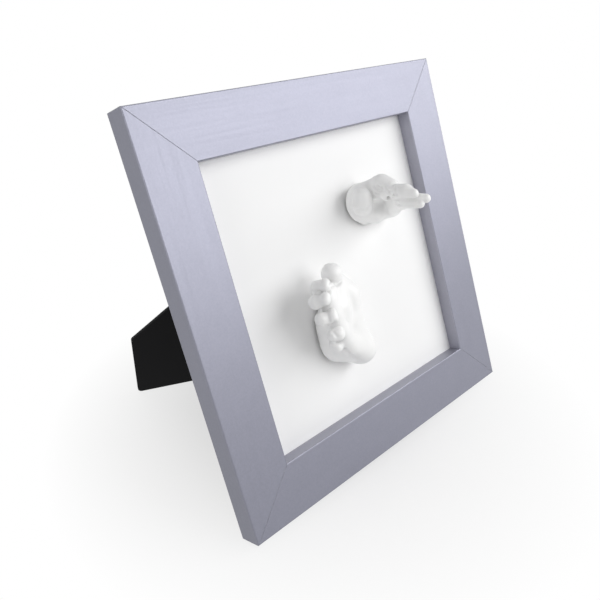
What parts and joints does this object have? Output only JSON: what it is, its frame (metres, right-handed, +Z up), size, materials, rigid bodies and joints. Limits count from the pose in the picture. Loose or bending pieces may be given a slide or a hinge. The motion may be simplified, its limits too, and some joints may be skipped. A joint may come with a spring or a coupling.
{
  "type": "baby handprint frame",
  "caption": "Square mitred picture frame on a folding rear strut, with a plaster cast of a baby's hand and one of a foot standing out from its white panel.",
  "frame": {"origin": "the middle of the lower back edge of the bottom rail, the edge on which the leaning frame stands", "axes": "+X to the right as seen from the front, +Y towards the back where the strut stands, +Z up"},
  "size_m": [0.27, 0.1998, 0.2565],
  "materials": {
    "foil_moulding": "satin silver-lilac foil wrapped over a fibreboard moulding",
    "mount_panel": "smooth matt white display board",
    "backing": "hardboard faced with black paper",
    "foam_pad": "white closed-cell adhesive foam",
    "plaster": "cast plaster, smooth with a faint sheen",
    "strut_board": "hardboard covered in black grained paper",
    "rivet_steel": "nickel-plated steel, slightly dull",
    "button_steel": "zinc-plated pressed steel",
    "screw_steel": "zinc-plated steel screws",
    "nail_steel": "bright steel V nails",
    "plated_steel": "nickel-plated pressed steel"
  },
  "bodies": {
    "frame": {"rail_bottom": "foil_moulding", "rail_left": "foil_moulding", "rail_top": "foil_moulding", "rail_right": "foil_moulding", "corner_v_nails": "nail_steel", "display_panel": "mount_panel", "backing_board": "backing", "hand_pad": "foam_pad", "foot_pad": "foam_pad", "hand_cast": "plaster", "foot_cast": "plaster", "turn_button_screws": "screw_steel", "hinge_board_leaf": "plated_steel", "hinge_pin": "plated_steel", "board_rivets": "rivet_steel", "hanger_plate": "plated_steel", "hanger_rivet": "rivet_steel"},
    "strut": {"strut": "strut_board", "hinge_strut_leaf": "plated_steel", "strut_rivets": "rivet_steel"},
    "hanger_ring": {"hanger_ring": "plated_steel"},
    "turn_button_bottom": {"turn_button_bottom": "button_steel"},
    "turn_button_left": {"turn_button_left": "button_steel"},
    "turn_button_top": {"turn_button_top": "button_steel"},
    "turn_button_right": {"turn_button_right": "button_steel"}
  },
  "joints": [
    {"name": "strut_fold", "type": "hinge", "parent": "frame", "child": "strut", "pos_m": [0.0377, 0.07641, 0.18246], "axis": [0.809, -0.2202, -0.545], "range_deg": [-42, 0]},
    {"name": "hanger_ring_swing", "type": "hinge", "parent": "frame", "child": "hanger_ring", "pos_m": [0, 0.08256, 0.19961], "axis": [1, 0, 0], "range_deg": [-21, 155]},
    {"name": "turn_button_bottom_turn", "type": "hinge", "parent": "frame", "child": "turn_button_bottom", "pos_m": [0, 0.00636, 0.01533], "axis": [0, 0.9272, -0.3746], "continuous": true},
    {"name": "turn_button_left_turn", "type": "hinge", "parent": "frame", "child": "turn_button_left", "pos_m": [-0.1184, 0.05071, 0.12511], "axis": [0, 0.9272, -0.3746], "continuous": true},
    {"name": "turn_button_top_turn", "type": "hinge", "parent": "frame", "child": "turn_button_top", "pos_m": [0, 0.09506, 0.23489], "axis": [0, 0.9272, -0.3746], "continuous": true},
    {"name": "turn_button_right_turn", "type": "hinge", "parent": "frame", "child": "turn_button_right", "pos_m": [0.1184, 0.05071, 0.12511], "axis": [0, 0.9272, -0.3746], "continuous": true}
  ]
}
